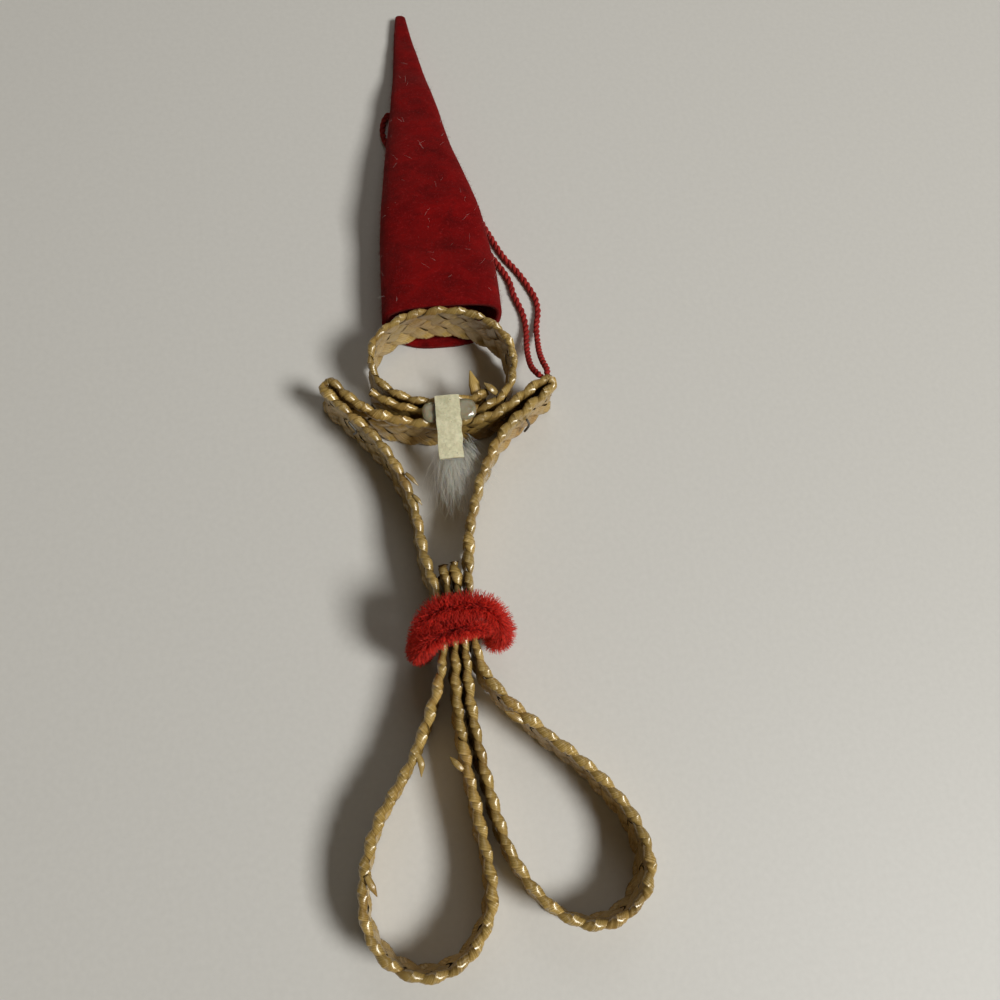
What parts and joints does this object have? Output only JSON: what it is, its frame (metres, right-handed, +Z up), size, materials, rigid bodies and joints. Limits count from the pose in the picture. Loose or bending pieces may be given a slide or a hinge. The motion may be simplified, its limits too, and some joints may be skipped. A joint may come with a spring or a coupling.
{
  "type": "plaited straw gnome hanging ornament",
  "caption": "Gnome figure of plaited straw with looped legs, raised arms, ring head, red felt hat, chenille belt and hanging cord, lying with its back up",
  "frame": {"origin": "middle of the footprint on the surface the ornament lies on, measured without the hanging cord", "axes": "+Z up from the surface to the ornament's back, +Y from the leg loops to the tip of the hat, +X to the right seen from above"},
  "size_m": [0.0524, 0.2104, 0.0221],
  "materials": {
    "straw": "satin golden straw",
    "red_felt": "matt wool felt",
    "chenille": "soft pile",
    "yarn": "twisted wool yarn",
    "paper_tape": "matt cream",
    "glue": "dried clear glue",
    "white_wool": "loose fibres",
    "staple_wire": "dulled wire"
  },
  "bodies": {
    "root": {"body_braid": "straw", "head_braid": "straw", "hat": "red_felt", "belt": "chenille", "hanging_cord": "yarn", "beard_tape": "paper_tape", "glue": "glue", "beard": "white_wool", "left_staple": "staple_wire", "right_staple": "staple_wire"}
  },
  "joints": []
}
